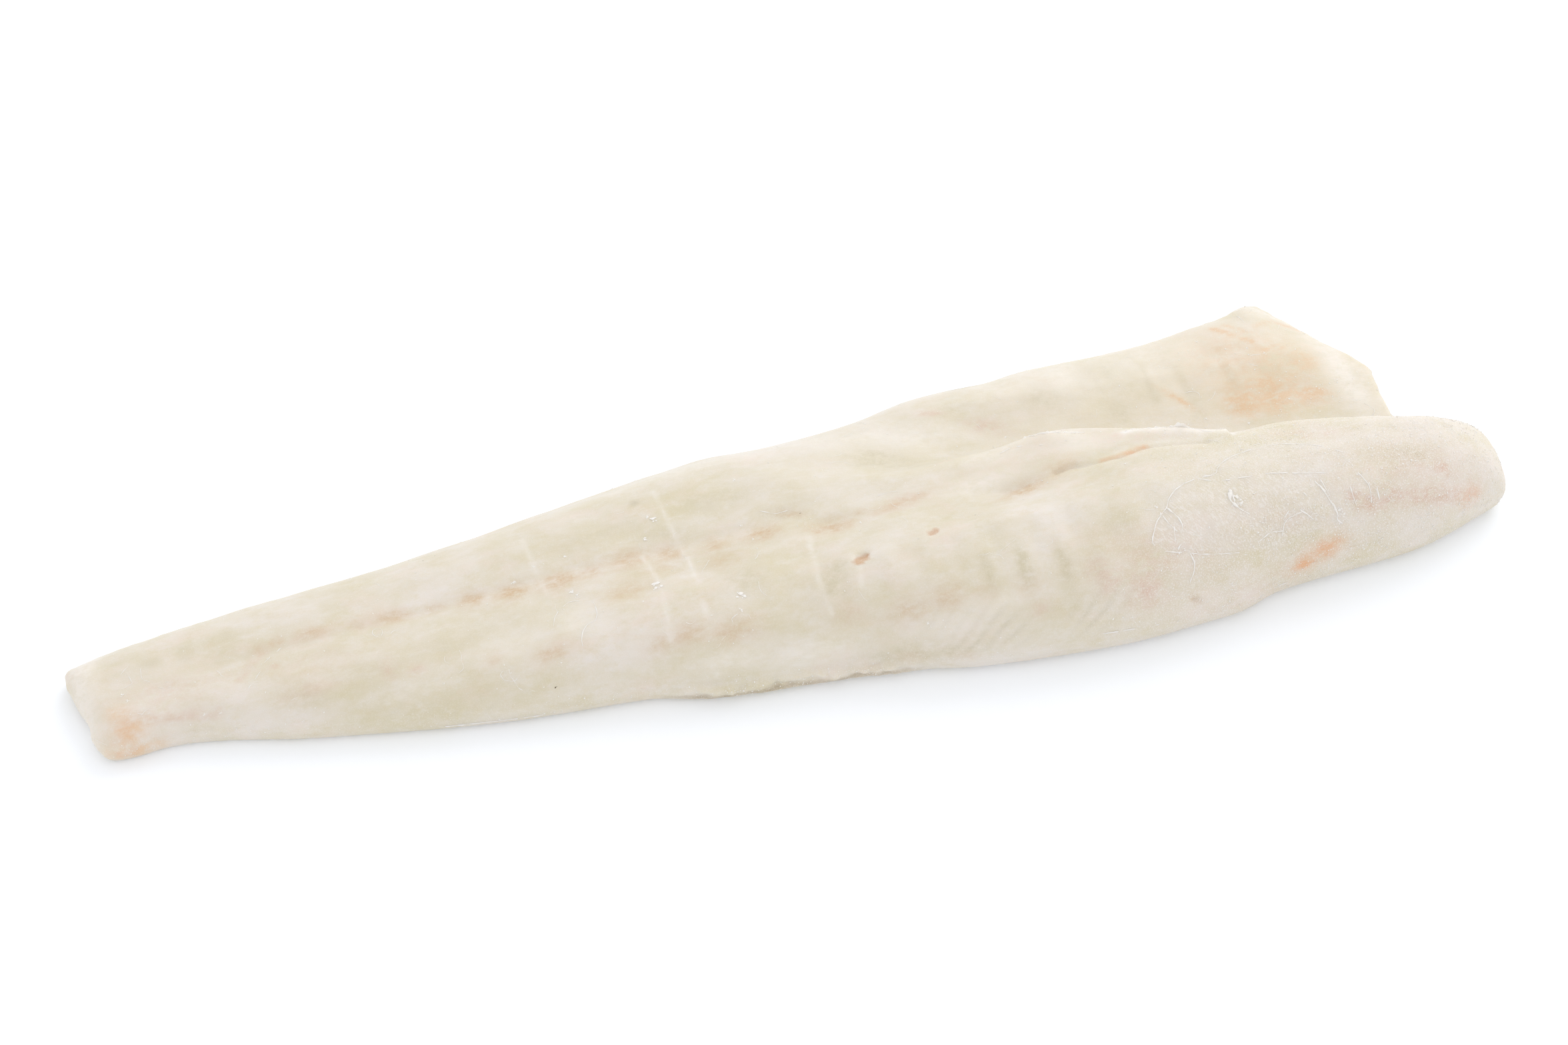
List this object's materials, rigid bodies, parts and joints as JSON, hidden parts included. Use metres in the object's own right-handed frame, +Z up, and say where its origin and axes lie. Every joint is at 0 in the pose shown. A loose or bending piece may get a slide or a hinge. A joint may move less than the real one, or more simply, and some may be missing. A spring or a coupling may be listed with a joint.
{
  "type": "alaska pollock fillet",
  "caption": "Long tapering skinless white fish fillet, frozen, bone side up, with a thick rounded loin, a V-shaped cut beside it and a thin belly flap.",
  "frame": {"origin": "middle of the fillet's box, on its flat underside", "axes": "+X from the cut tail to the head end, +Y from the thick loin to the thin belly flap, +Z up out of the bone side"},
  "size_m": [0.291, 0.0834, 0.0226],
  "materials": {
    "flesh": "frozen raw white fish: cream, slightly translucent, satin with a dusting of frost"
  },
  "bodies": {
    "root": {"fillet": "flesh"}
  },
  "joints": []
}
